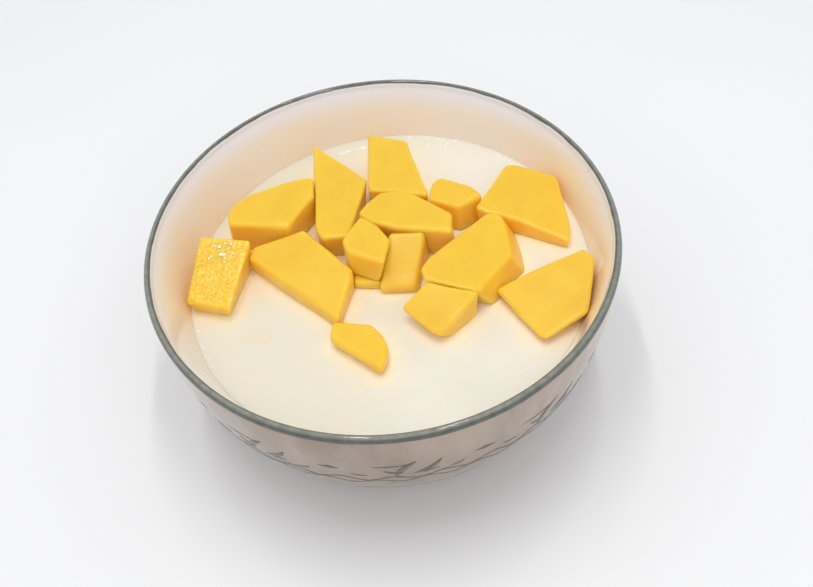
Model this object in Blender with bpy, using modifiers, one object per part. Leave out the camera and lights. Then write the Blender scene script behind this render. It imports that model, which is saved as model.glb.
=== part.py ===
"""Steamed milk pudding with cut mango, in its glazed bowl.

Metres, +Z up.  The origin is under the middle of the foot ring, on the
surface that the bowl stands on, and -Y is the side of the bowl that stays
clear of fruit.
"""
import math
from collections import namedtuple

import bmesh
import bpy
from mathutils import Vector

MM = 0.001

# Bowl: outer diameter at the rim, height, and the walls as Bezier curves of
# (radius, height) in millimetres.
BOWL_HEIGHT = 70.0
RIM_RADIUS = 75.0
LIP_THICKNESS = 2.6
LIP_DROP = 2.0
OUTER_WALL = ((RIM_RADIUS, BOWL_HEIGHT - LIP_DROP), (73.5, 40.0), (67.0, 10.0), (36.0, 5.2))
FLOOR_HEIGHT = 10.0
INNER_WALL = ((RIM_RADIUS - LIP_THICKNESS, BOWL_HEIGHT - LIP_DROP), (61.6, 47.0),
              (64.0, FLOOR_HEIGHT), (0.0, FLOOR_HEIGHT))
FOOT_RADIUS = 35.5
FOOT_WIDTH = 4.5
UNDERSIDE_HEIGHT = 5.0
WALL_STEPS = 11
LIP_STEPS = 4
TURN_STEPS = 64

# Pudding: its level at the middle, and how far the set surface tips, +X up.
PUDDING_LEVEL = 49.7
PUDDING_TIP = math.radians(2.1)
GAP = 0.3
CREASE_ANGLE = math.radians(40.0)

# Each mango piece stands on the pudding.  at: its middle in the surface.
# top: the corners of its cut top, round the middle.  height: of the top over
# the surface, at the middle.  rise: the top's slope towards +X and +Y.
# foot_scale and foot_shift: the lower outline, from the top's.  lift: how far
# its foot is over the surface, where another piece is under it.
Chunk = namedtuple("Chunk", "name at top height rise foot_scale foot_shift lift", defaults=(0.0,))

CHUNKS = (
    # Long slice on the left, cut side up, leaning up to the back.
    Chunk("mango_01", (-54.0, 3.0),
          ((-10.6, -8.9), (3.4, -14.1), (11.6, 8.7), (-5.2, 13.3)),
          9.3, (0.06, 0.27), 0.84, (-0.7, 0.0)),
    # Broad slab beside it, thick at the back.
    Chunk("mango_02", (-25.5, 0.5),
          ((-18.5, 7.7), (-16.9, 11.4), (0.2, 15.2), (4.5, 9.9), (15.2, -3.5), (14.7, -6.5), (9.6, -21.2)),
          7.6, (0.05, 0.13), 1.0, (-0.2, 0.5)),
    # Piece with a rounded end, at the back on the left.
    Chunk("mango_03", (-34.5, 26.0),
          ((-15.3, -6.0), (-15.8, -2.0), (-15.0, 0.6), (-12.6, 3.7), (-8.4, 6.3), (2.0, 9.7),
           (9.0, 11.0), (13.3, 11.0), (13.3, 2.5), (4.4, -10.2)),
          12.2, (-0.01, 0.0), 1.0, (-0.7, 0.0)),
    # Two long slices that point to the back of the bowl.
    Chunk("mango_04", (-14.0, 29.0),
          ((-6.5, 26.3), (11.5, 5.2), (3.7, -20.0), (-5.0, -19.2), (-6.8, -14.5)),
          10.5, (-0.01, 0.0), 0.88, (-0.6, -1.0)),
    Chunk("mango_05", (6.5, 38.0),
          ((-7.0, 18.3), (6.0, 12.6), (7.2, 4.0), (10.8, -13.7), (10.5, -15.6), (-8.6, -9.6)),
          10.5, (-0.01, -0.02), 0.98, (-0.2, 0.3)),
    # Thick bar across the middle.
    Chunk("mango_06", (9.5, 13.0),
          ((-15.4, 3.5), (-12.7, 7.2), (-8.1, 11.3), (-1.9, 11.4), (2.2, 9.4), (7.3, 4.8), (14.5, -2.0),
           (13.4, -9.9), (-4.4, -4.9), (-12.5, -0.8)),
          12.7, (-0.01, 0.0), 1.0, (0.3, 0.6)),
    # Block in the middle, which stands on a thin slice.
    Chunk("mango_07", (-4.0, 3.0),
          ((-7.9, 1.6), (-1.5, 10.9), (3.7, 5.9), (7.2, -0.6), (4.6, -9.9), (-6.0, -3.7)),
          13.6, (-0.01, 0.03), 0.8, (-1.8, -1.3), 3.7),
    # Wedge in front of the bar, thin in front.
    Chunk("mango_08", (6.5, -1.0),
          ((-3.2, 7.4), (7.8, 6.2), (6.0, 0.5), (2.6, -9.0), (-8.9, -7.9)),
          7.9, (0.05, 0.56), 1.0, (1.1, 0.5)),
    # Small block at the back, right of the middle.
    Chunk("mango_09", (25.5, 22.5),
          ((-8.3, -1.3), (-5.7, 6.0), (-2.9, 7.7), (6.6, 1.8), (9.5, -2.8), (1.2, -6.7)),
          10.0, (-0.01, 0.0), 0.9, (0.2, -2.7)),
    # Broad slab at the back on the right, thin on its outer side.
    Chunk("mango_10", (50.0, 17.0),
          ((-17.4, -2.8), (-5.0, 15.4), (-1.6, 15.4), (11.4, 9.9), (12.1, 0.0), (12.1, -12.0), (11.0, -18.2),
           (-4.0, -8.9), (-9.5, -6.3), (-14.0, -5.2)),
          7.4, (-0.17, 0.08), 0.94, (-0.4, 0.0)),
    # Biggest block, right of the middle.
    Chunk("mango_11", (28.0, -5.5),
          ((-16.3, -3.6), (-13.2, 0.5), (-2.4, 8.6), (7.2, 15.7), (10.2, 15.5), (11.8, 13.6), (12.7, 5.0),
           (12.8, -2.8), (0.0, -15.4), (-15.7, -8.1)),
          10.4, (-0.01, 0.02), 0.94, (5.2, 0.8)),
    # Slice that leans on the biggest block, raised towards it.
    Chunk("mango_12", (15.5, -22.5),
          ((-11.4, 2.4), (-2.2, 8.2), (13.1, 1.0), (1.5, -8.1), (-0.6, -9.2), (-3.3, -7.2)),
          7.7, (0.21, 0.34), 0.72, (2.5, -0.1)),
    # Wide slab on the right, its outer side up on the wall.
    Chunk("mango_13", (51.5, -22.0),
          ((-16.8, 5.2), (-6.6, 9.0), (12.4, 14.0), (15.0, 9.8), (12.9, 1.8), (9.1, -9.2), (-5.0, -15.8),
           (-6.8, -14.2)),
          5.8, (0.1, 0.09), 0.85, (-0.6, 0.6)),
    # Small rounded slice in front.
    Chunk("mango_14", (-9.5, -30.0),
          ((-9.2, 2.4), (-8.0, 8.4), (3.6, 5.4), (6.7, 1.3), (8.2, -3.1), (7.6, -7.4), (5.3, -11.2)),
          5.4, (-0.01, 0.0), 0.95, (0.3, 0.8)),
    # Thin slice under the block in the middle.
    Chunk("mango_15", (-5.5, -0.5),
          ((-4.9, -4.7), (4.1, -6.3), (4.2, -1.0), (4.2, 5.8), (0.5, 8.0), (-4.0, 3.5), (-4.6, -2.0)),
          3.3, (-0.01, 0.0), 1.0, (0.0, 0.5)),
)
CHUNK_BEVEL = 0.8
BEVEL_SEGMENTS = 2
FLAT_ANGLE = math.radians(1.0)

GLAZE = ((0.82, 0.77, 0.74, 1.0), 0.12)
PUDDING = ((0.86, 0.80, 0.68, 1.0), 0.35)
MANGO = ((0.88, 0.55, 0.07, 1.0), 0.35)


def clear_scene():
    for old in list(bpy.data.objects):
        bpy.data.objects.remove(old, do_unlink=True)


def make_collection(name):
    collection = bpy.data.collections.new(name)
    bpy.context.scene.collection.children.link(collection)
    return collection


def principled(name, look):
    colour, roughness = look
    material = bpy.data.materials.new(name)
    material.use_nodes = True
    shader = material.node_tree.nodes["Principled BSDF"]
    shader.inputs["Base Color"].default_value = colour
    shader.inputs["Roughness"].default_value = roughness
    shader.inputs["Metallic"].default_value = 0.0
    return material


def bezier(curve, steps):
    """Points along a cubic Bezier of (radius, height), both ends included."""
    a, b, c, d = (Vector(point) for point in curve)
    points = []
    for i in range(steps + 1):
        t = i / steps
        s = 1.0 - t
        points.append(a * s ** 3 + b * 3 * s * s * t + c * 3 * s * t * t + d * t ** 3)
    return points


def lip_points():
    """Half an ellipse over the lip, from its inner side to its outer side."""
    middle = RIM_RADIUS - LIP_THICKNESS / 2
    points = []
    for i in range(1, LIP_STEPS):
        angle = math.pi * (1.0 - i / LIP_STEPS)
        across = LIP_THICKNESS / 2 * math.cos(angle)
        up = LIP_DROP * math.sin(angle)
        points.append(Vector((middle + across, BOWL_HEIGHT - LIP_DROP + up)))
    return points


def foot_points():
    """The foot ring, from its outer side to the middle of the underside."""
    inside = FOOT_RADIUS - FOOT_WIDTH
    return [Vector(point) for point in (
        (FOOT_RADIUS, 1.0), (FOOT_RADIUS - 0.8, 0.0), (inside + 0.8, 0.0), (inside, 1.0),
        (inside - 1.0, UNDERSIDE_HEIGHT), (0.0, UNDERSIDE_HEIGHT))]


def turned(name, profile, collection, material):
    """A body turned about Z from a profile of (radius, height) in millimetres."""
    mesh = bpy.data.meshes.new(name)
    vertices = [(point.x * MM, 0.0, point.y * MM) for point in profile]
    edges = [(i, i + 1) for i in range(len(vertices) - 1)]
    mesh.from_pydata(vertices, edges, [])
    body = bpy.data.objects.new(name, mesh)
    collection.objects.link(body)
    screw = body.modifiers.new("turn", "SCREW")
    screw.axis = "Z"
    screw.steps = TURN_STEPS
    screw.render_steps = TURN_STEPS
    screw.use_merge_vertices = True
    screw.merge_threshold = 0.00001
    body.data.materials.append(material)
    return body


def evaluated_mesh(body):
    """The mesh of an object with its modifiers, or of a curve, as new data."""
    depsgraph = bpy.context.evaluated_depsgraph_get()
    return bpy.data.meshes.new_from_object(body.evaluated_get(depsgraph))


def shade(mesh):
    mesh.shade_smooth()
    mesh.set_sharp_from_angle(angle=CREASE_ANGLE)


def build_bowl(collection):
    inner = list(reversed(bezier(INNER_WALL, WALL_STEPS)))
    outer = bezier(OUTER_WALL, WALL_STEPS)
    bowl = turned("bowl", inner + lip_points() + outer + foot_points(), collection,
                  principled("glaze", GLAZE))
    bowl.modifiers["turn"].use_smooth_shade = True
    return bowl


def build_pudding(collection):
    """The set milk: the bowl's inside, a little smaller, cut off at its level."""
    wall = []
    for point in bezier(INNER_WALL, WALL_STEPS):
        wall.append(Vector((max(point.x - GAP, 0.0), point.y + GAP)))
    blank = turned("blank", [Vector((0.0, wall[0].y))] + wall, collection, principled("milk", PUDDING))
    mesh = evaluated_mesh(blank)
    bpy.data.objects.remove(blank, do_unlink=True)

    work = bmesh.new()
    work.from_mesh(mesh)
    up = Vector((-math.sin(PUDDING_TIP), 0.0, math.cos(PUDDING_TIP)))
    cut = bmesh.ops.bisect_plane(
        work, geom=work.verts[:] + work.edges[:] + work.faces[:], dist=0.000001,
        plane_co=(0.0, 0.0, PUDDING_LEVEL * MM), plane_no=up, clear_outer=True)
    rim = [item for item in cut["geom_cut"] if isinstance(item, bmesh.types.BMEdge)]
    bmesh.ops.contextual_create(work, geom=rim)
    bmesh.ops.recalc_face_normals(work, faces=work.faces[:])
    work.to_mesh(mesh)
    work.free()
    shade(mesh)
    pudding = bpy.data.objects.new("pudding", mesh)
    collection.objects.link(pudding)
    return pudding


def pudding_surface(collection):
    """An empty in the tipped surface, which carries the fruit."""
    surface = bpy.data.objects.new("pudding_surface", None)
    surface.location = (0.0, 0.0, (PUDDING_LEVEL + GAP) * MM)
    surface.rotation_euler = (0.0, -PUDDING_TIP, 0.0)
    collection.objects.link(surface)
    return surface


def outline_solid(name, outline, thickness, collection):
    """A flat outline in millimetres, extruded to a closed mesh round z = 0."""
    curve = bpy.data.curves.new(name, "CURVE")
    curve.dimensions = "2D"
    curve.fill_mode = "BOTH"
    curve.extrude = thickness * MM / 2
    spline = curve.splines.new("POLY")
    spline.points.add(len(outline) - 1)
    for point, (x, y) in zip(spline.points, outline):
        point.co = (x * MM, y * MM, 0.0, 1.0)
    spline.use_cyclic_u = True
    source = bpy.data.objects.new(name + "_outline", curve)
    collection.objects.link(source)
    bpy.context.view_layer.update()
    mesh = evaluated_mesh(source)
    bpy.data.objects.remove(source, do_unlink=True)
    return mesh


def build_chunk(chunk, collection, surface, material):
    """One cut piece: its outline extruded, then the top tilted and the foot drawn."""
    mesh = outline_solid(chunk.name, chunk.top, chunk.height, collection)
    work = bmesh.new()
    work.from_mesh(mesh)
    bmesh.ops.remove_doubles(work, verts=work.verts[:], dist=0.00001)
    bmesh.ops.dissolve_limit(work, angle_limit=FLAT_ANGLE, verts=work.verts[:], edges=work.edges[:])
    for vertex in work.verts:
        if vertex.co.z > 0.0:
            slope = chunk.rise[0] * vertex.co.x + chunk.rise[1] * vertex.co.y
            vertex.co.z = chunk.height * MM + slope
        else:
            vertex.co.x = vertex.co.x * chunk.foot_scale + chunk.foot_shift[0] * MM
            vertex.co.y = vertex.co.y * chunk.foot_scale + chunk.foot_shift[1] * MM
            vertex.co.z = chunk.lift * MM
    bmesh.ops.recalc_face_normals(work, faces=work.faces[:])
    work.to_mesh(mesh)
    work.free()
    shade(mesh)

    piece = bpy.data.objects.new(chunk.name, mesh)
    piece.location = (chunk.at[0] * MM, chunk.at[1] * MM, 0.0)
    piece.parent = surface
    collection.objects.link(piece)
    mesh.materials.clear()
    mesh.materials.append(material)
    bevel = piece.modifiers.new("rounded edges", "BEVEL")
    bevel.width = CHUNK_BEVEL * MM
    bevel.segments = BEVEL_SEGMENTS
    bevel.limit_method = "ANGLE"
    return piece


def main():
    clear_scene()
    parts = make_collection("milk_pudding")
    build_bowl(parts)
    build_pudding(parts)
    surface = pudding_surface(parts)
    flesh = principled("mango", MANGO)
    for chunk in CHUNKS:
        build_chunk(chunk, parts, surface, flesh)
    bpy.context.view_layer.update()


main()
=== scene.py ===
"""Looks of the steamed milk pudding: its glazed bowl, the set milk and the cut mango.

Sizes are in millimetres up to the point where a mesh is made, which is in
metres, +Z up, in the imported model's frame.  The bowl's middle is the Z axis,
and -Y is the side of the bowl that stays clear of fruit.
"""

import math

import bmesh
import bpy
import numpy as np
from mathutils import Matrix, Vector, kdtree, noise


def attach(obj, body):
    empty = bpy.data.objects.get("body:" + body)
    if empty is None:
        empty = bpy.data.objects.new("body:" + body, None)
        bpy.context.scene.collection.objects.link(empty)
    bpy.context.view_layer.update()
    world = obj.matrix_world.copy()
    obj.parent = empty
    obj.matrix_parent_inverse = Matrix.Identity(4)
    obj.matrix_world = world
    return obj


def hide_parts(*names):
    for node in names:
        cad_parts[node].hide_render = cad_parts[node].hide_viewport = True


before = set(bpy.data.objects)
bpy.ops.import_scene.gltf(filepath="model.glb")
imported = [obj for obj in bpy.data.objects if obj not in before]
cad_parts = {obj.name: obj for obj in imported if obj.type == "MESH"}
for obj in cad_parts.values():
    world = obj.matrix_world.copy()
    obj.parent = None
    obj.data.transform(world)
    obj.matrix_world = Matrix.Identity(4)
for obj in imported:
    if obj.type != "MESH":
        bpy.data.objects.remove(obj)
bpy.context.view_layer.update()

MM = 0.001
BODY = "root"

# The camera: where it stands, how far it looks down, and how it is rolled.
CAMERA_AT = (6.1, -212.5, 302.4)
CAMERA_DOWN = math.radians(51.2)
CAMERA_ROLL = math.radians(-6.58)
CAMERA_LENS = 44.28

# The bowl, as the CAD has it: walls as Bezier curves of (radius, height), and the
# foot ring's fillet and hollow as (how far out or in from its wall, height).
BOWL_HEIGHT = 70.0
RIM_RADIUS = 75.0
LIP_THICKNESS = 2.6
LIP_DROP = 2.0
LIP_MIDDLE = RIM_RADIUS - LIP_THICKNESS / 2
OUTER_WALL = ((RIM_RADIUS, BOWL_HEIGHT - LIP_DROP), (73.5, 40.0), (67.0, 10.0), (36.0, 5.2))
FLOOR_HEIGHT = 10.0
INNER_WALL = ((RIM_RADIUS - LIP_THICKNESS, BOWL_HEIGHT - LIP_DROP), (61.6, 47.0),
              (64.0, FLOOR_HEIGHT), (0.0, FLOOR_HEIGHT))
FOOT_RADIUS = 35.5
FOOT_WIDTH = 4.5
UNDERSIDE_HEIGHT = 5.0
FOOT_ROUNDING = 0.9
FOOT_FILLET = ((0.3, 4.6), (0.05, 3.9), (0.0, 3.0))
FOOT_HOLLOW = ((0.6, 3.2), (1.0, UNDERSIDE_HEIGHT))
BOWL_STEPS = 288
WALL_STEPS = 64
LIP_STEPS = 16
LOOKUP_STEPS = 200

# The painted line over the rim: how far it runs from the top of the lip inside
# and outside, and how soft its two edges are.
PAINT_INSIDE = 1.2
PAINT_OUTSIDE = 2.6
SOFT_INSIDE = 0.22
SOFT_OUTSIDE = 0.25

# Where the glaze changes, along the wall from the top of the lip, with the inside
# negative: from painted warm bounce low inside to painted sky reflection near the
# rim, at the lip, into painted shade low down the outside, and over the painted
# highlight along the ridge of the painted line.
GLAZE_REFLECTION_CHANGE = (-10.0, -2.4)
LIP_CHANGE = (-0.2, 0.2)
SHADE_LOW_CHANGE = (9.0, 30.0)
HIGHLIGHT_START = (-0.7, 0.0)
HIGHLIGHT_END = (0.5, 1.4)

# The pudding: its level at the middle, how far it tips with +X up, how far it
# reaches into the wall and climbs it, the height and width of its unevenness, and
# how near the wall that fades.  The CAD keeps a gap under the fruit, which the
# pudding fills.
PUDDING_LEVEL = 49.7
PUDDING_TIP = math.radians(2.1)
FRUIT_GAP = 0.3
WALL_REACH = 0.25
SINK = 0.1
MENISCUS = 0.2
MENISCUS_WIDTH = 1.2
SAG = (0.1, 17.0)
DIMPLE = (0.01, 3.2)
CALM_EDGE = 2.0

# The pudding's mesh: how often its edge is worked out anew, its steps round, its
# rings on top, which crowd towards the wall, and down the side, and how far over
# the floor the side ends.
EDGE_ROUNDS = 4
PUDDING_STEPS = 288
PUDDING_RINGS = 96
PUDDING_CROWDING = 1.35
SIDE_RINGS = 14
BOTTOM_LIFT = 0.4

# Small bubbles along the pudding's edge: from and to in degrees round the bowl
# from +X, how many, the band that they keep to, in from the wall, and their
# greatest radius.  They are half as high as they are wide.
BUBBLES = (
    (41.0, 47.5, 12, 0.8, 2.3, 0.4),
    (60.0, 72.0, 24, 2.4, 6.8, 0.42),
    (62.0, 79.0, 34, 0.5, 1.9, 0.36),
    (91.5, 103.0, 34, 3.9, 5.0, 0.5),
    (190.0, 206.0, 18, 0.6, 1.5, 0.32),
)
SMALLEST_BUBBLE = 0.2
BUBBLE_FLATNESS = 0.5
BUBBLE_SEED = 7

# The fruit's juices on the pudding, with a painted glow of its bounce light: how far
# they run out from each foot, which is the lowest slice of a piece, and faint peach
# spots of them, by x, y and radius.
JUICE_GLOW_REACH = 3.4
FOOT_SLICE = 1.6
SPOTS = (
    (-45.0, -19.2, 1.8), (-41.5, -20.0, 2.0), (-38.6, -19.4, 1.4),
    (-11.3, -42.4, 0.9), (11.1, -52.7, 1.1), (15.0, -50.2, 0.8), (2.0, -55.0, 0.7),
)
SPOT_STRENGTH = 0.28
SPOT_SPREAD = 1.5

# The fruit's mesh: how near its corners are joined, how fine it is, and how often
# and how strongly it is softened.
WELD = 0.01
VOXEL = 0.36
GRAINY_VOXEL = 0.288
SOFTENING = 5
SOFTENING_SHARE = 0.5

# The fruit's relief: how far the faces swell, the height and width of their slow
# waves and fine unevenness, the height, length and width of their fibres, and how
# far apart two pieces read the noise.
SWELL = 0.3
WAVE = (0.34, 11.0)
ROUGH = (0.03, 2.6)
FIBRE = (0.015, 9.0, 1.1)
NOISE_SHIFT = 31.7

# The pieces with a grainy wet top, each with the height of its grains; their
# width, the deepest pit between them, as a share of that height, how strong the
# painted glint on them is, and the Z of a normal from which it begins and where it is full.
GRAIN = {"mango_01": 0.28}
GRAIN_SIZE = 0.95
GRAIN_PITS = -0.2
GRAIN_GLINT = 0.85
GLINT_FACING = (0.3, 0.8)

# Painted light on the fruit: sides and parts low over the pudding are painted a
# brighter orange, standing in for the orange light bounced among the pieces and off
# the milk.  The Z of a normal up to which a face is a side, and from which it is a
# top; how far up from the pudding the painted bounce fades; and the shares of it on
# any side, low on a side, and low anywhere.
TOP_FACING = (0.25, 0.85)
BOUNCE_REACH = 9.0
BOUNCE_SIDE = 0.72
BOUNCE_LOW_SIDE = 0.45
BOUNCE_LOW = 0.1

# How strongly and how far the fruit's colour is painted into the glaze of the wall as
# its reflection and bounce light, and how many of the fruit's vertices are passed
# over for each one that is measured.
FRUIT_REFLECTION = 0.75
FRUIT_REFLECTION_REACH = 7.0
FRUIT_REFLECTION_STRIDE = 7

# Crumbs of set milk on the long slice on the left, painted white as its wet
# glints: x, y and radius; then their height as a share of their width, how far
# over the slice their middles are, as a share of their radius, how far and how
# often per millimetre their surface wavers, and the seed of that.
GLINT_CRUMBS = (
    (-54.6, 11.6, 0.4), (-53.4, 11.2, 0.55), (-51.2, 12.0, 0.4), (-49.4, 11.4, 0.5),
    (-56.8, 7.6, 0.45), (-56.0, 8.2, 0.3), (-52.9, 8.3, 0.75), (-51.8, 8.0, 0.55),
    (-48.8, 7.9, 0.45), (-51.6, 6.9, 0.4), (-50.3, 10.0, 0.36),
)
CRUMB_FLATNESS = 0.55
CRUMB_RISE = 0.1
CRUMB_UNEVENNESS = 0.16
CRUMB_WAVES = 1.1
CRUMB_SEED = 5

# A height over all of the fruit, from which its top is looked for.
OVER_ALL = 90.0

# What every material starts from, and the part of the noise's range that is
# stretched into soft patches.
SHADER_DEFAULTS = {"Metallic": 0.0, "IOR": 1.45}
PATCH_CONTRAST = (0.3, 0.7)


def srgb(red, green, blue):
    """A linear colour from display values of 0 to 255."""
    channels = []
    for value in (red, green, blue):
        value = value / 255.0
        channels.append(value / 12.92 if value <= 0.04045 else ((value + 0.055) / 1.055) ** 2.4)
    return (*channels, 1.0)


# Painted light in the glaze inside: a warm bounce low on the wall and a cool sky reflection near
# the rim.
GLAZE_WARM_BOUNCE = srgb(236, 226, 212)
GLAZE_SKY_REFLECTION = srgb(230, 230, 236)
# The fruit's painted reflection and bounce light in the glaze.
GLAZE_FRUIT_REFLECTION = srgb(252, 210, 130)
# The white glaze outside, painted in shade with a brown reflection of the table, in streaks, and
# darker low down.
OUTSIDE_SHADE_DARK = srgb(146, 126, 107)
OUTSIDE_SHADE_LIGHT = srgb(174, 154, 135)
OUTSIDE_SHADE_LOW = srgb(128, 108, 90)
# A painted highlight along the ridge of the rim's line, on paint of uneven thickness.
RIDGE_HIGHLIGHT_LIGHT = srgb(138, 141, 130)
RIDGE_HIGHLIGHT_DARK = srgb(120, 123, 113)
LINE_LIGHT = srgb(98, 101, 92)
LINE_DARK = srgb(82, 86, 77)
PRINT_DARK = srgb(80, 83, 72)
PRINT_THIN = srgb(114, 109, 97)
CREAM_LEFT = srgb(225, 220, 202)
CREAM_RIGHT = srgb(233, 229, 216)
CREAM_BLOTCH = srgb(224, 216, 196)
STAIN = srgb(240, 204, 150)
# Fruit juices with a painted glow of the fruit's bounce light.
JUICE_AND_GLOW = srgb(255, 243, 205)
# Bubbles and crumbs painted whiter than the milk, as their glints.
FOAM_GLINT_BRIGHT = srgb(255, 254, 248)
FOAM_GLINT_DULL = srgb(248, 244, 234)
YELLOW = srgb(236, 198, 50)
YELLOW_DEEP = srgb(234, 192, 46)
YELLOW_FIBRE = srgb(233, 187, 43)
# A painted glint on the wet grains.
YELLOW_BEAD_GLINT = srgb(250, 226, 110)
# Painted orange bounce light on the fruit's sides and low down.
ORANGE_BOUNCE = srgb(255, 204, 76)
ORANGE_BOUNCE_DEEP = srgb(255, 194, 68)
PAPER_DARK = srgb(238, 238, 238)
PAPER_LIGHT = srgb(242, 242, 241)


class Look:
    """A Principled material, with short calls for the nodes that feed it."""

    def __init__(self, name, **constants):
        self.material = bpy.data.materials.new(name)
        self.material.use_nodes = True
        self.tree = self.material.node_tree
        self.shader = self.tree.nodes["Principled BSDF"]
        for socket, value in {**SHADER_DEFAULTS, **constants}.items():
            self.shader.inputs[socket.replace("_", " ")].default_value = value

    def node(self, kind, inputs=(), **settings):
        node = self.tree.nodes.new(kind)
        for key, value in settings.items():
            setattr(node, key, value)
        for key, value in dict(inputs).items():
            if isinstance(value, bpy.types.NodeSocket):
                self.tree.links.new(value, node.inputs[key])
            else:
                node.inputs[key].default_value = value
        return node

    def feed(self, socket, value):
        self.tree.links.new(value, self.shader.inputs[socket])

    def attribute(self, name, output="Fac"):
        return self.node("ShaderNodeAttribute", attribute_name=name).outputs[output]

    def place(self):
        """Object coordinates in millimetres."""
        object_place = self.node("ShaderNodeTexCoord").outputs["Object"]
        return self.scaled(object_place, (1 / MM, 1 / MM, 1 / MM))

    def scaled(self, vector, factors):
        node = self.node("ShaderNodeVectorMath", {0: vector, 1: factors}, operation="MULTIPLY")
        return node.outputs["Vector"]

    def noise(self, vector, size, detail=2.0, roughness=0.5):
        """Noise from about 0 to 1, with features of about that size."""
        inputs = {"Vector": vector, "Scale": 1.0 / size, "Detail": detail, "Roughness": roughness}
        return self.node("ShaderNodeTexNoise", inputs).outputs["Fac"]

    def add(self, a, b):
        return self.node("ShaderNodeMath", {0: a, 1: b}, operation="ADD").outputs["Value"]

    def times(self, a, b):
        return self.node("ShaderNodeMath", {0: a, 1: b}, operation="MULTIPLY").outputs["Value"]

    def ranged(self, value, low, high, to_low=0.0, to_high=1.0, kind="SMOOTHSTEP"):
        """A value of that range brought to another, 0 to 1 if none is given."""
        inputs = {"Value": value, "From Min": low, "From Max": high,
                  "To Min": to_low, "To Max": to_high}
        return self.node("ShaderNodeMapRange", inputs, interpolation_type=kind).outputs["Result"]

    def wavering(self, vector, size, detail, reach):
        """A length that wanders between plus and minus that reach."""
        return self.ranged(self.noise(vector, size, detail), 0.0, 1.0, -reach, reach, kind="LINEAR")

    def patchy(self, vector, size, detail=2.0, roughness=0.5):
        """Noise as soft patches, from 0 to 1."""
        return self.ranged(self.noise(vector, size, detail, roughness), *PATCH_CONTRAST)

    def mix(self, factor, a, b):
        node = self.node("ShaderNodeMix", data_type="RGBA")
        for socket, value in ((node.inputs[0], factor), (node.inputs[6], a), (node.inputs[7], b)):
            if isinstance(value, bpy.types.NodeSocket):
                self.tree.links.new(value, socket)
            else:
                socket.default_value = value
        return node.outputs[2]

    def bump(self, height, distance, strength):
        """Relief from a height of 0 to 1 that stands for that distance in millimetres."""
        inputs = {"Height": height, "Distance": distance * MM, "Strength": strength}
        self.feed("Normal", self.node("ShaderNodeBump", inputs).outputs["Normal"])


def glaze_look():
    """White glaze with a grey-green line over the rim, and painted light: warm bounce and sky
    reflection inside, the fruit's reflection, shade outside, a highlight on the line.
    """
    look = Look("glaze", Roughness=0.08, Specular_IOR_Level=0.25,
                Coat_Weight=0.5, Coat_Roughness=0.02)
    place = look.place()
    along = look.attribute("along")
    edge = look.add(along, look.wavering(place, 9.0, 2.0, 0.35))

    # Painted light inside: warm bounce low on the wall, turning to a painted sky reflection near
    # the rim.
    inside = look.mix(look.ranged(edge, *GLAZE_REFLECTION_CHANGE), GLAZE_WARM_BOUNCE, GLAZE_SKY_REFLECTION)
    # A painted reflection of the fruit in the glaze near it.
    inside = look.mix(look.attribute("fruit_reflection"), inside, GLAZE_FRUIT_REFLECTION)
    # Outside: painted shade with streaks of painted reflection, darker low down.
    reflection_streaks = look.patchy(look.scaled(place, (1.0, 1.0, 0.35)), 13.0, 3.0)
    outside = look.mix(reflection_streaks, OUTSIDE_SHADE_DARK, OUTSIDE_SHADE_LIGHT)
    outside = look.mix(look.ranged(along, *SHADE_LOW_CHANGE, 0.0, 0.5), outside, OUTSIDE_SHADE_LOW)
    body = look.mix(look.ranged(along, *LIP_CHANGE), inside, outside)

    thick = look.patchy(place, 2.2, 4.0)
    # A painted highlight along the ridge of the line, between the line's own colour inside and
    # outside.
    ridge = look.mix(thick, RIDGE_HIGHLIGHT_LIGHT, RIDGE_HIGHLIGHT_DARK)
    dark = look.mix(thick, LINE_LIGHT, LINE_DARK)
    paint = look.mix(look.ranged(along, *HIGHLIGHT_START), dark, ridge)
    paint = look.mix(look.ranged(along, *HIGHLIGHT_END), paint, dark)
    begins = look.ranged(edge, -PAINT_INSIDE - SOFT_INSIDE, -PAINT_INSIDE + SOFT_INSIDE)
    ends = look.ranged(edge, PAINT_OUTSIDE - SOFT_OUTSIDE, PAINT_OUTSIDE + SOFT_OUTSIDE, 1.0, 0.0)
    look.feed("Base Color", look.mix(look.times(begins, ends), body, paint))
    look.bump(look.noise(place, 14.0, 2.0), 0.12, 0.5)
    return look.material


def print_look():
    """The grey-green of the ornament on the outside."""
    look = Look("print", Roughness=0.14, Specular_IOR_Level=0.25,
                Coat_Weight=0.25, Coat_Roughness=0.06)
    worn = look.patchy(look.place(), 1.6, 4.0, 0.7)
    look.feed("Base Color", look.mix(worn, PRINT_DARK, PRINT_THIN))
    return look.material


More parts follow.
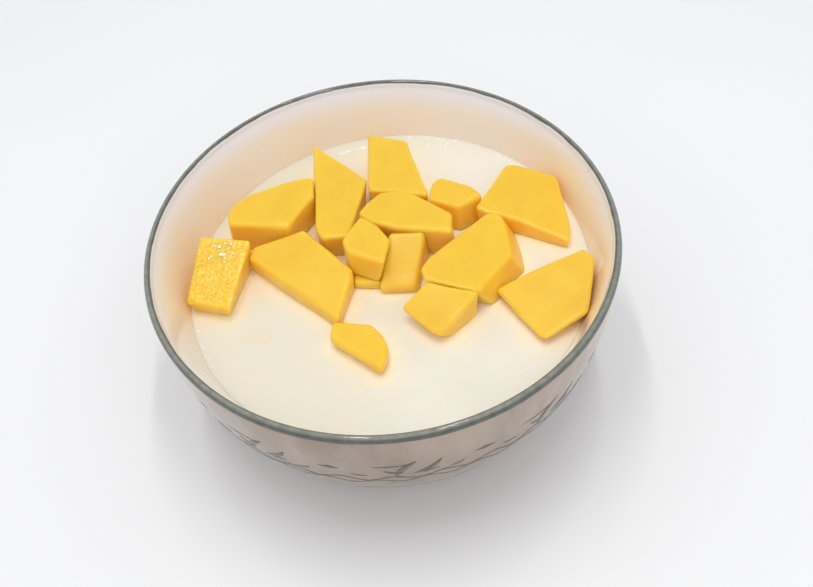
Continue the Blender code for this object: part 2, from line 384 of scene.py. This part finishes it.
def milk_look():
    """Set milk: cream white, peach where the fruit's juices have run, with a painted glow of the
    fruit's bounce light round it.
    """
    look = Look("milk", Subsurface_Weight=0.3, Subsurface_Radius=(1.0, 0.8, 0.55),
                Subsurface_Scale=1.2 * MM, Coat_Weight=0.2, Coat_Roughness=0.22)
    place = look.place()
    across = look.node("ShaderNodeSeparateXYZ", {"Vector": place}).outputs["X"]
    drift = look.add(across, look.ranged(look.noise(place, 34.0), 0.0, 1.0, -40.0, 40.0))
    cream = look.mix(look.ranged(drift, -20.0, 60.0), CREAM_LEFT, CREAM_RIGHT)
    blotch = look.ranged(look.noise(place, 6.0, 3.0), 0.35, 0.75)
    cream = look.mix(look.times(blotch, 0.15), cream, CREAM_BLOTCH)
    reach = look.ranged(look.noise(place, 3.0, 3.0), 0.2, 0.8, 0.75, 1.1)
    # Fruit juices round the feet, with a painted glow of bounce light.
    juice_and_glow = look.times(look.attribute("juice_and_glow"), reach)
    stained = look.mix(look.times(look.attribute("stain"), reach), cream, STAIN)
    look.feed("Base Color", look.mix(juice_and_glow, stained, JUICE_AND_GLOW))
    shine = look.noise(place, 5.0, 3.0)
    look.feed("Roughness", look.ranged(shine, *PATCH_CONTRAST, 0.3, 0.38))
    look.bump(look.noise(place, 1.6, 3.0, 0.6), 0.02, 0.3)
    return look.material


def foam_look():
    """Bubbles and crumbs of milk, wet, and painted whiter than the pudding as their glints."""
    look = Look("foam", Roughness=0.14, Coat_Weight=0.5, Coat_Roughness=0.05)
    fleck = look.noise(look.place(), 0.8, 2.0)
    look.feed("Base Color", look.mix(fleck, FOAM_GLINT_BRIGHT, FOAM_GLINT_DULL))
    return look.material


def flesh_look():
    """Moist mango flesh: yellow, with painted orange bounce light down the sides and low down, a
    painted glint on wet grains, and fine fibres.
    """
    look = Look("flesh", Subsurface_Weight=1.0, Subsurface_Radius=(1.0, 0.75, 0.35),
                Subsurface_Scale=3.5 * MM, Coat_Weight=0.12, Coat_Roughness=0.2)
    grain = look.attribute("grain", "Vector")
    fibres = look.noise(look.scaled(grain, (0.16, 1.0, 1.0)), 1.0, 4.0, 0.65)
    patches = look.patchy(grain, 8.0, 3.0)
    yellow = look.mix(patches, YELLOW, YELLOW_DEEP)
    yellow = look.mix(look.ranged(fibres, 0.45, 0.75, 0.0, 0.22), yellow, YELLOW_FIBRE)
    orange = look.mix(patches, ORANGE_BOUNCE, ORANGE_BOUNCE_DEEP)
    # A painted glint on the wet grains of the beaded top, where they face up.
    beads = look.ranged(look.noise(grain, 0.8, 1.0), 0.5, 0.72)
    yellow = look.mix(look.times(beads, look.attribute("bead_glint")), yellow, YELLOW_BEAD_GLINT)
    # Painted orange bounce light down the sides and low over the milk.
    look.feed("Base Color", look.mix(look.attribute("side_bounce"), yellow, orange))
    wet = look.noise(grain, 4.5, 1.0)
    look.feed("Roughness", look.ranged(wet, 0.35, 0.65, 0.32, 0.42))
    look.bump(look.noise(look.scaled(grain, (0.3, 1.0, 1.0)), 1.6, 1.0), 0.03, 0.4)
    return look.material


def bezier(curve, steps):
    """Points of a cubic Bezier of (radius, height), both ends included."""
    a, b, c, d = (np.array(point) for point in curve)
    t = np.linspace(0.0, 1.0, steps + 1)[:, None]
    s = 1.0 - t
    return a * s ** 3 + b * 3 * s * s * t + c * 3 * s * t * t + d * t ** 3


def lip_curve(steps):
    """Half an ellipse over the lip, from its inner side to its outer side."""
    angle = np.linspace(math.pi, 0.0, steps + 1)[1:-1]
    return np.column_stack([LIP_MIDDLE + LIP_THICKNESS / 2 * np.cos(angle),
                            BOWL_HEIGHT - LIP_DROP + LIP_DROP * np.sin(angle)])


def foot_curve():
    """The foot ring with its rounded edges, and the underside."""
    inside = FOOT_RADIUS - FOOT_WIDTH
    turn = np.linspace(0.0, math.pi / 2, 5)
    away, down = FOOT_ROUNDING * np.cos(turn), FOOT_ROUNDING * np.sin(turn)
    outer_edge = np.column_stack([FOOT_RADIUS - FOOT_ROUNDING + away, FOOT_ROUNDING - down])
    inner_edge = np.column_stack([inside + FOOT_ROUNDING - down, FOOT_ROUNDING - away])
    fillet = [(FOOT_RADIUS + out, height) for out, height in FOOT_FILLET]
    under = [(inside - further, height) for further, height in FOOT_HOLLOW]
    return np.vstack([fillet, outer_edge, inner_edge, under, [(0.0, UNDERSIDE_HEIGHT)]])


def finished_object(name, mesh, material):
    """An object of smooth faces that rides on the body; the mesh is in metres."""
    mesh.shade_smooth()
    mesh.materials.append(material)
    piece = bpy.data.objects.new(name, mesh)
    bpy.context.scene.collection.objects.link(piece)
    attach(piece, BODY)
    return piece


def mesh_object(name, vertices, faces, material):
    """An object made of vertices in millimetres and their faces."""
    mesh = bpy.data.meshes.new(name)
    mesh.from_pydata((np.asarray(vertices) * MM).tolist(), [], faces)
    mesh.validate()
    return finished_object(name, mesh, material)


def set_floats(mesh, name, values):
    layer = mesh.attributes.new(name, "FLOAT", "POINT")
    layer.data.foreach_set("value", np.asarray(values, np.float32))


def ring_faces(rings, steps, first=0):
    """Quads between rings of vertices that are numbered ring by ring."""
    faces = []
    for ring in range(rings - 1):
        low = first + ring * steps
        high = low + steps
        for step in range(steps):
            ahead = (step + 1) % steps
            faces.append((low + step, low + ahead, high + ahead, high + step))
    return faces


def capped_rings(rings, steps, start_pole, end_pole):
    """Faces of a closed body of rings, with a pole at each end."""
    faces = ring_faces(rings, steps)
    last = (rings - 1) * steps
    for step in range(steps):
        ahead = (step + 1) % steps
        faces.append((start_pole, ahead, step))
        faces.append((end_pole, last + step, last + ahead))
    return faces


def build_bowl():
    inner = bezier(INNER_WALL, WALL_STEPS)[::-1]
    lip = lip_curve(LIP_STEPS)
    profile = np.vstack([inner, lip, bezier(OUTER_WALL, WALL_STEPS), foot_curve()])
    lengths = np.linalg.norm(np.diff(profile, axis=0), axis=1)
    along = np.concatenate([[0.0], np.cumsum(lengths)])
    along -= along[len(inner) + len(lip) // 2]

    rings = profile[1:-1]
    angle = np.arange(BOWL_STEPS) * 2 * math.pi / BOWL_STEPS
    vertices = np.empty((len(rings), BOWL_STEPS, 3))
    vertices[:, :, 0] = rings[:, 0, None] * np.cos(angle)
    vertices[:, :, 1] = rings[:, 0, None] * np.sin(angle)
    vertices[:, :, 2] = rings[:, 1, None]
    count = len(rings) * BOWL_STEPS
    poles = [(0.0, 0.0, profile[0, 1]), (0.0, 0.0, profile[-1, 1])]
    faces = capped_rings(len(rings), BOWL_STEPS, count, count + 1)
    places = np.vstack([vertices.reshape(-1, 3), poles])
    bowl = mesh_object("bowl_glazed", places, faces, glaze_look())
    by_ring = np.repeat(along[1:-1], BOWL_STEPS)
    set_floats(bowl.data, "along", np.concatenate([by_ring, along[[0, -1]]]))
    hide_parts("bowl")
    return bowl


class OuterWall:
    """The bowl's outer wall by depth, which runs down the wall from the lip's outer edge."""

    def __init__(self):
        self.points = bezier(OUTER_WALL, LOOKUP_STEPS)
        steps = np.linalg.norm(np.diff(self.points, axis=0), axis=1)
        self.depths = np.concatenate([[0.0], np.cumsum(steps)])

    def place(self, azimuth, depth, lift):
        """The point at that azimuth and depth, lifted off the wall."""
        radius = np.interp(depth, self.depths, self.points[:, 0])
        height = np.interp(depth, self.depths, self.points[:, 1])
        below = np.interp(depth + SLOPE_STEP, self.depths, self.points[:, 0])
        lower = np.interp(depth + SLOPE_STEP, self.depths, self.points[:, 1])
        along = Vector((below - radius, lower - height)).normalized()
        radius += -along.y * lift
        height += along.x * lift
        return (radius * math.cos(azimuth), radius * math.sin(azimuth), height)


# The ornament, in millimetres round the bowl from the middle of its repeat and
# down from the lip: brush strokes by their two ends, how far their middle bows
# to the side, and their greatest half width.  A lozenge is straight-sided.  The
# wavy lines have a depth, a swing, a half width, which the brush's press makes
# thinner and thicker, and a phase in turns.  The print stands a little proud of
# the wall and reaches a little into it.
ORNAMENT_REPEATS = 10
ORNAMENT_START = math.radians(-90.0)
LOZENGES = (((-25.8, 17.0), (-19.4, 17.0), 0.0, 1.15),)
STROKES = (
    ((-9.5, 15.2), (1.5, 14.6), 0.5, 0.4),
    ((-3.0, 24.0), (3.6, 13.0), -1.2, 1.15),
    ((2.4, 22.6), (11.0, 14.0), 1.3, 0.95),
    ((-6.5, 18.4), (-0.6, 21.0), 0.8, 0.7),
    ((5.2, 22.8), (10.4, 21.0), -0.5, 0.5),
    ((-16.4, 20.4), (-11.2, 22.0), 0.9, 0.55),
    ((13.6, 22.2), (18.0, 20.2), 0.9, 0.55),
)
WAVE_LINES = ((25.6, 1.5, 0.5, 0.0), (28.4, 1.3, 0.36, 0.3), (43.0, 0.9, 0.36, 0.4))
WAVE_COUNT = 30
WAVE_STEPS = 576
THIN_SHARE = 0.75
PRESS_SHARE = 0.5
STROKE_STEPS = 12
STROKE_FULLNESS = 0.7
THINNEST = 0.02
PRINT_LIFT = 0.05
PRINT_DEPTH = 0.12
SLOPE_STEP = 0.5


def stroke_outline(start, end, bow, half_width, pointed):
    """Left and right points of a tapering stroke, as (across, depth), end to end."""
    start, end = Vector(start), Vector(end)
    side = (end - start).orthogonal().normalized()
    left, right = [], []
    for i in range(STROKE_STEPS + 1):
        t = i / STROKE_STEPS
        middle = start.lerp(end, t) + side * bow * 4 * t * (1 - t)
        swell = 1.0 - abs(2 * t - 1) if pointed else (4 * t * (1 - t)) ** STROKE_FULLNESS
        wide = side * max(half_width * swell, THINNEST)
        left.append(middle + wide)
        right.append(middle - wide)
    return left, right


def wave_outline(depth, swing, half_width, phase):
    """Upper and lower points of a wavy line right round the bowl, as (across, depth)."""
    left, right = [], []
    for i in range(WAVE_STEPS):
        turn = i / WAVE_STEPS
        wave = depth + swing * math.sin(2 * math.pi * (WAVE_COUNT * turn + phase))
        press = math.sin(2 * math.pi * (WAVE_COUNT * 2 * turn + phase)) ** 2
        wide = half_width * (THIN_SHARE + PRESS_SHARE * press)
        across = turn * 2 * math.pi * RIM_RADIUS
        left.append(Vector((across, wave - wide)))
        right.append(Vector((across, wave + wide)))
    return left, right


def add_band(vertices, faces, wall, left, right, azimuth, closed=False):
    """A thin closed strip between two lines of points on the wall."""
    first = len(vertices)
    for a, b in zip(left, right):
        for point, lift in ((a, PRINT_LIFT), (b, PRINT_LIFT), (b, -PRINT_DEPTH), (a, -PRINT_DEPTH)):
            vertices.append(wall.place(azimuth + point.x / RIM_RADIUS, point.y, lift))
    count = len(left)
    for i in range(count if closed else count - 1):
        here = first + 4 * i
        ahead = first + 4 * ((i + 1) % count)
        for k in range(4):
            turn = (k + 1) % 4
            faces.append((here + k, ahead + k, ahead + turn, here + turn))
    if not closed:
        faces.append((first, first + 1, first + 2, first + 3))
        last = first + 4 * (count - 1)
        faces.append((last + 3, last + 2, last + 1, last))


def build_ornament():
    """Lozenges, sprigs and wavy lines printed round the outside of the bowl."""
    wall = OuterWall()
    vertices, faces = [], []
    for repeat in range(ORNAMENT_REPEATS):
        azimuth = ORNAMENT_START + repeat * 2 * math.pi / ORNAMENT_REPEATS
        for shapes, pointed in ((LOZENGES, True), (STROKES, False)):
            for start, end, bow, half_width in shapes:
                left, right = stroke_outline(start, end, bow, half_width, pointed)
                add_band(vertices, faces, wall, left, right, azimuth)
    for depth, swing, half_width, phase in WAVE_LINES:
        left, right = wave_outline(depth, swing, half_width, phase)
        add_band(vertices, faces, wall, left, right, ORNAMENT_START, closed=True)
    mesh_object("bowl_print", vertices, faces, print_look())


def turns_left(first, middle, last):
    """Whether a path of three (x, y) places turns anticlockwise."""
    return np.cross(np.subtract(middle, first), np.subtract(last, first)) > 0


def footprint(node):
    """The outline of a fruit's foot, in millimetres, as a ring of (x, y)."""
    points = np.array([vertex.co for vertex in node.data.vertices]) / MM
    base = points[points[:, 2] < points[:, 2].min() + FOOT_SLICE][:, :2]
    ordered = sorted(set(map(tuple, base.round(3))))
    hull = []
    for run in (ordered, ordered[::-1]):
        side = []
        for point in run:
            while len(side) > 1 and not turns_left(side[-2], side[-1], point):
                side.pop()
            side.append(point)
        hull.extend(side[:-1])
    return np.array(hull)


def distance_to(outline, places):
    """How far each place is from a filled outline, 0 inside it."""
    nearest = np.full(len(places), np.inf)
    inside = np.ones(len(places), bool)
    for start, end in zip(outline, np.roll(outline, -1, axis=0)):
        run = end - start
        offset = places - start
        share = np.clip(offset @ run / (run @ run), 0.0, 1.0)
        nearest = np.minimum(nearest, np.linalg.norm(offset - share[:, None] * run, axis=1))
        inside &= run[0] * offset[:, 1] - run[1] * offset[:, 0] >= 0
    return np.where(inside, 0.0, nearest)


def unevenness(size, x, y, level):
    """Noise of that (height, width) at a place, read at one level of the noise."""
    height, width = size
    return height * noise.noise(Vector((x / width, y / width, level)))


class PuddingTop:
    """The pudding's surface: its edge on the wall and its height everywhere."""

    def __init__(self):
        wall = bezier(INNER_WALL, LOOKUP_STEPS)[::-1]
        self.wall_heights = wall[:, 1]
        self.wall_radii = wall[:, 0]

    def wall_radius(self, height):
        return np.interp(height, self.wall_heights, self.wall_radii)

    def plane(self, x):
        return PUDDING_LEVEL + FRUIT_GAP + SINK + math.tan(PUDDING_TIP) * x

    def edge(self, azimuth):
        radius = self.wall_radius(PUDDING_LEVEL)
        for _ in range(EDGE_ROUNDS):
            radius = self.wall_radius(self.plane(radius * math.cos(azimuth)) + MENISCUS)
        return radius

    def height(self, x, y):
        azimuth = math.atan2(y, x)
        to_wall = max(self.edge(azimuth) - math.hypot(x, y), 0.0)
        climb = MENISCUS * math.exp(-to_wall / MENISCUS_WIDTH)
        uneven = unevenness(SAG, x, y, 0.3) + unevenness(DIMPLE, x, y, 4.1)
        return self.plane(x) + climb + uneven * min(to_wall / CALM_EDGE, 1.0)


def pudding_rings(top):
    """Rings of places over the pudding's top and then down its side."""
    azimuths = np.arange(PUDDING_STEPS) * 2 * math.pi / PUDDING_STEPS
    edges = [top.edge(azimuth) for azimuth in azimuths]
    shares = 1.0 - (1.0 - np.linspace(0.0, 1.0, PUDDING_RINGS + 1)[1:]) ** PUDDING_CROWDING
    rows = []
    for share in shares:
        row = []
        for azimuth, edge in zip(azimuths, edges):
            radius = edge * share
            x, y = radius * math.cos(azimuth), radius * math.sin(azimuth)
            row.append((x, y, top.height(x, y)))
        rows.append(row)
    for share in np.linspace(0.0, 1.0, SIDE_RINGS + 1)[1:]:
        row = []
        for azimuth, (x, y, high) in zip(azimuths, rows[PUDDING_RINGS - 1]):
            height = high + (FLOOR_HEIGHT + BOTTOM_LIFT - high) * share
            radius = top.wall_radius(height) + WALL_REACH
            row.append((radius * math.cos(azimuth), radius * math.sin(azimuth), height))
        rows.append(row)
    return rows


def juice_and_glow_at(places, feet):
    """How strongly the fruit's juices and its painted glow of bounce light round its feet tint each
    place.
    """
    juice_and_glow = np.zeros(len(places))
    for foot in feet:
        juice_and_glow = np.maximum(juice_and_glow, np.exp(-distance_to(foot, places[:, :2]) / JUICE_GLOW_REACH))
    return juice_and_glow


def stain_at(places):
    """How strongly the spots tint each place."""
    stain = np.zeros(len(places))
    for x, y, radius in SPOTS:
        gap = np.hypot(places[:, 0] - x, places[:, 1] - y)
        spot = np.clip(SPOT_SPREAD - gap / radius, 0.0, 1.0)
        stain = np.maximum(stain, SPOT_STRENGTH * spot)
    return stain


def build_pudding(top, feet):
    rows = pudding_rings(top)
    places = np.array(rows).reshape(-1, 3)
    poles = [(0.0, 0.0, top.height(0.0, 0.0)), (0.0, 0.0, FLOOR_HEIGHT - WALL_REACH)]
    count = len(places)
    faces = [face[::-1] for face in capped_rings(len(rows), PUDDING_STEPS, count, count + 1)]
    places = np.vstack([places, poles])
    pudding = mesh_object("pudding_milk", places, faces, milk_look())
    set_floats(pudding.data, "juice_and_glow", juice_and_glow_at(places, feet))
    set_floats(pudding.data, "stain", stain_at(places))
    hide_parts("pudding")


def add_dome(mesh, x, y, z, radius, flatness):
    """A small rounded body, centred at that place."""
    squash = Matrix.Diagonal((radius * MM, radius * MM, radius * flatness * MM, 1.0))
    placed = Matrix.Translation(Vector((x, y, z)) * MM) @ squash
    bmesh.ops.create_uvsphere(mesh, u_segments=12, v_segments=8, radius=1.0, matrix=placed)


def object_of(name, work, material):
    """The object of a bmesh that is already in metres."""
    mesh = bpy.data.meshes.new(name)
    work.to_mesh(mesh)
    work.free()
    return finished_object(name, mesh, material)


def build_bubbles(top, foam):
    draw = np.random.default_rng(BUBBLE_SEED)
    work = bmesh.new()
    for start, end, count, near, far, largest in BUBBLES:
        for _ in range(count):
            azimuth = math.radians(draw.uniform(start, end))
            radius = top.edge(azimuth) - draw.uniform(near, far)
            size = draw.uniform(SMALLEST_BUBBLE, largest)
            x, y = radius * math.cos(azimuth), radius * math.sin(azimuth)
            add_dome(work, x, y, top.height(x, y), size, BUBBLE_FLATNESS)
    object_of("pudding_bubbles", work, foam)


def fine_copy(name, node, voxel):
    """A closed, evenly meshed and softened copy of a CAD node."""
    work = bmesh.new()
    work.from_mesh(node.data)
    bmesh.ops.remove_doubles(work, verts=work.verts[:], dist=WELD * MM)
    mesh = bpy.data.meshes.new(name + "_rough")
    work.to_mesh(mesh)
    work.free()
    body = bpy.data.objects.new(name + "_rough", mesh)
    bpy.context.scene.collection.objects.link(body)
    remesh = body.modifiers.new("even", "REMESH")
    remesh.mode = "VOXEL"
    remesh.voxel_size = voxel * MM
    soften = body.modifiers.new("soften", "SMOOTH")
    soften.factor = SOFTENING_SHARE
    soften.iterations = SOFTENING
    depsgraph = bpy.context.evaluated_depsgraph_get()
    fine = bpy.data.meshes.new_from_object(body.evaluated_get(depsgraph))
    bpy.data.objects.remove(body, do_unlink=True)
    piece = bpy.data.objects.new(name, fine)
    bpy.context.scene.collection.objects.link(piece)
    return piece


def own_axes(points):
    """A piece's places along, across and up, with its longest run first."""
    middle = points.mean(axis=0)
    flat = points[:, :2] - middle[:2]
    longest = np.linalg.svd(flat - flat.mean(axis=0), full_matrices=False)[2][0]
    across = np.array([-longest[1], longest[0]])
    return np.column_stack([flat @ longest, flat @ across, points[:, 2] - middle[2]])


def smoothstep(low, high, value):
    share = np.clip((value - low) / (high - low), 0.0, 1.0)
    return share * share * (3.0 - 2.0 * share)


def vertex_values(mesh, name):
    """The vertices' places or normals, as rows of three."""
    values = np.empty(len(mesh.vertices) * 3)
    mesh.vertices.foreach_get(name, values)
    return values.reshape(-1, 3)


def relief(grain, normals, shift, grainy):
    """How far each vertex is pushed out, in millimetres."""
    push = np.empty(len(grain))
    for i, (u, v, w) in enumerate(grain):
        slow = noise.noise(Vector((u, v, w)) / WAVE[1] + Vector((shift, 0.0, 0.0)))
        fine = noise.noise(Vector((u, v, w)) / ROUGH[1] + Vector((shift, 3.0, 0.0)))
        fibre = noise.noise(Vector((u / FIBRE[1], v / FIBRE[2] + shift, w / FIBRE[2])))
        push[i] = SWELL + WAVE[0] * slow + ROUGH[0] * fine + FIBRE[0] * fibre
        if grainy:
            bead = noise.noise(Vector((u, v, w)) / GRAIN_SIZE)
            push[i] += grainy * max(bead, GRAIN_PITS) * max(normals[i, 2], 0.0)
    return push


def painted_side_bounce(points, normals, top):
    """From 0 on top, where the flesh is yellow, to 1 low on the sides, where the painted orange
    bounce light is full.
    """
    over = points[:, 2] - top.plane(points[:, 0])
    side = 1.0 - smoothstep(*TOP_FACING, normals[:, 2])
    low = 1.0 - smoothstep(0.0, BOUNCE_REACH, over)
    return np.clip(BOUNCE_SIDE * side + BOUNCE_LOW_SIDE * side * low + BOUNCE_LOW * low, 0.0, 1.0)


def build_fruit(node_name, number, material, top):
    """One cut piece: softened, slightly wavy faces, fibres, and its painted orange bounce light."""
    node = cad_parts[node_name]
    grainy = GRAIN.get(node_name, 0.0)
    piece = fine_copy("fruit_" + node_name[-2:], node, GRAINY_VOXEL if grainy else VOXEL)
    mesh = piece.data
    points = vertex_values(mesh, "co") / MM
    normals = vertex_values(mesh, "normal")
    grain = own_axes(points)
    shift = number * NOISE_SHIFT
    points = points + normals * relief(grain, normals, shift, grainy)[:, None]
    mesh.vertices.foreach_set("co", (points * MM).ravel())
    mesh.update()
    mesh.shade_smooth()
    mesh.materials.clear()
    mesh.materials.append(material)

    # Painted orange bounce light on the sides and low down.
    set_floats(mesh, "side_bounce", painted_side_bounce(points, normals, top))
    # The painted glint on the grains, on faces that look up.
    bead_glint = smoothstep(*GLINT_FACING, normals[:, 2])
    set_floats(mesh, "bead_glint", bead_glint * (GRAIN_GLINT if grainy else 0.0))
    layer = mesh.attributes.new("grain", "FLOAT_VECTOR", "POINT")
    layer.data.foreach_set("vector", (grain + [shift, 0.0, 0.0]).astype(np.float32).ravel())
    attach(piece, BODY)
    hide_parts(node_name)
    return piece


def paint_fruit_reflection(bowl, pieces):
    """How strongly the fruit's painted reflection and bounce light tint each place of the bowl."""
    points = []
    for piece in pieces:
        points.extend(vertex.co for vertex in list(piece.data.vertices)[::FRUIT_REFLECTION_STRIDE])
    tree = kdtree.KDTree(len(points))
    for index, point in enumerate(points):
        tree.insert(point, index)
    tree.balance()
    gaps = np.array([tree.find(vertex.co)[2] for vertex in bowl.data.vertices]) / MM
    set_floats(bowl.data, "fruit_reflection", FRUIT_REFLECTION * np.exp(-gaps / FRUIT_REFLECTION_REACH))


def top_height(mesh, x, y):
    """The height of a piece's top at that place, in millimetres."""
    start = Vector((x, y, OVER_ALL)) * MM
    hit, place, _, _ = mesh.ray_cast(start, Vector((0.0, 0.0, -1.0)))
    return place.z / MM if hit else None


# White crumbs of milk on the slice, also standing in as its painted wet glints.
def build_glint_crumbs(slice_piece, foam):
    work = bmesh.new()
    for x, y, radius in GLINT_CRUMBS:
        height = top_height(slice_piece, x, y)
        if height is not None:
            add_dome(work, x, y, height + radius * CRUMB_RISE, radius, CRUMB_FLATNESS)
    noise.seed_set(CRUMB_SEED)
    for vertex in work.verts:
        place = vertex.co / MM
        vertex.co += Vector(noise.noise_vector(place * CRUMB_WAVES)) * CRUMB_UNEVENNESS * MM
    object_of("milk_crumb_glints", work, foam)


# The studio: each light's name, place and size in metres, power and colour.
LIGHTS = (
    ("key", (-0.42, 0.16, 0.8), (0.8, 0.8), 0.4, (1.0, 0.98, 0.95)),
    ("fill", (0.2, -0.6, 0.75), (0.8, 0.5), 1.3, (0.97, 0.98, 1.0)),
    ("strip_left", (-0.11, 0.0, 0.85), (0.4, 0.018), 1.2, (1.0, 1.0, 1.0)),
    ("strip_right", (0.106, 0.0, 0.85), (0.4, 0.018), 1.2, (1.0, 1.0, 1.0)),
)
LIGHT_AIM = (0.0, 0.0, 0.05)
WORLD_COLOUR = (0.95, 0.96, 1.0, 1.0)
WORLD_STRENGTH = 0.7
FLOOR_SIZE = 40.0


def aimed(place, target):
    """A matrix at that place whose -Z looks at the target."""
    direction = Vector(target) - Vector(place)
    return Matrix.Translation(place) @ direction.to_track_quat("-Z", "Y").to_matrix().to_4x4()


def build_studio():
    for name, place, size, power, colour in LIGHTS:
        lamp = bpy.data.lights.new(name, "AREA")
        lamp.shape = "RECTANGLE"
        lamp.size, lamp.size_y = size
        lamp.energy = power
        lamp.color = colour
        light = bpy.data.objects.new(name, lamp)
        light.matrix_world = aimed(place, LIGHT_AIM)
        bpy.context.scene.collection.objects.link(light)
    world = bpy.data.worlds.new("studio")
    world.use_nodes = True
    background = world.node_tree.nodes["Background"]
    background.inputs["Color"].default_value = WORLD_COLOUR
    background.inputs["Strength"].default_value = WORLD_STRENGTH
    bpy.context.scene.world = world
    bpy.context.scene.view_settings.view_transform = "Standard"


def build_floor():
    bpy.ops.mesh.primitive_plane_add(size=FLOOR_SIZE)
    floor = bpy.context.object
    floor.name = "floor"
    look = Look("floor", Roughness=0.7)
    paper = look.noise(look.place(), 160.0, 2.0)
    look.feed("Base Color", look.mix(paper, PAPER_DARK, PAPER_LIGHT))
    floor.data.materials.append(look.material)


def build_camera():
    data = bpy.data.cameras.new("camera")
    data.lens = CAMERA_LENS
    data.clip_start = 0.01
    camera = bpy.data.objects.new("camera", data)
    tilt = Matrix.Rotation(math.pi / 2 - CAMERA_DOWN, 4, "X")
    roll = Matrix.Rotation(CAMERA_ROLL, 4, "Z")
    camera.matrix_world = Matrix.Translation(Vector(CAMERA_AT) * MM) @ tilt @ roll
    bpy.context.scene.collection.objects.link(camera)
    bpy.context.scene.camera = camera


build_camera()
build_studio()
build_floor()
bowl = build_bowl()
build_ornament()
fruit_names = sorted(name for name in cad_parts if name.startswith("mango"))
pudding_top = PuddingTop()
build_pudding(pudding_top, [footprint(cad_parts[name]) for name in fruit_names])
foam = foam_look()
build_bubbles(pudding_top, foam)
flesh = flesh_look()
fruit = {}
for number, name in enumerate(fruit_names):
    fruit[name] = build_fruit(name, number, flesh, pudding_top)
paint_fruit_reflection(bowl, fruit.values())
build_glint_crumbs(fruit["mango_01"], foam)
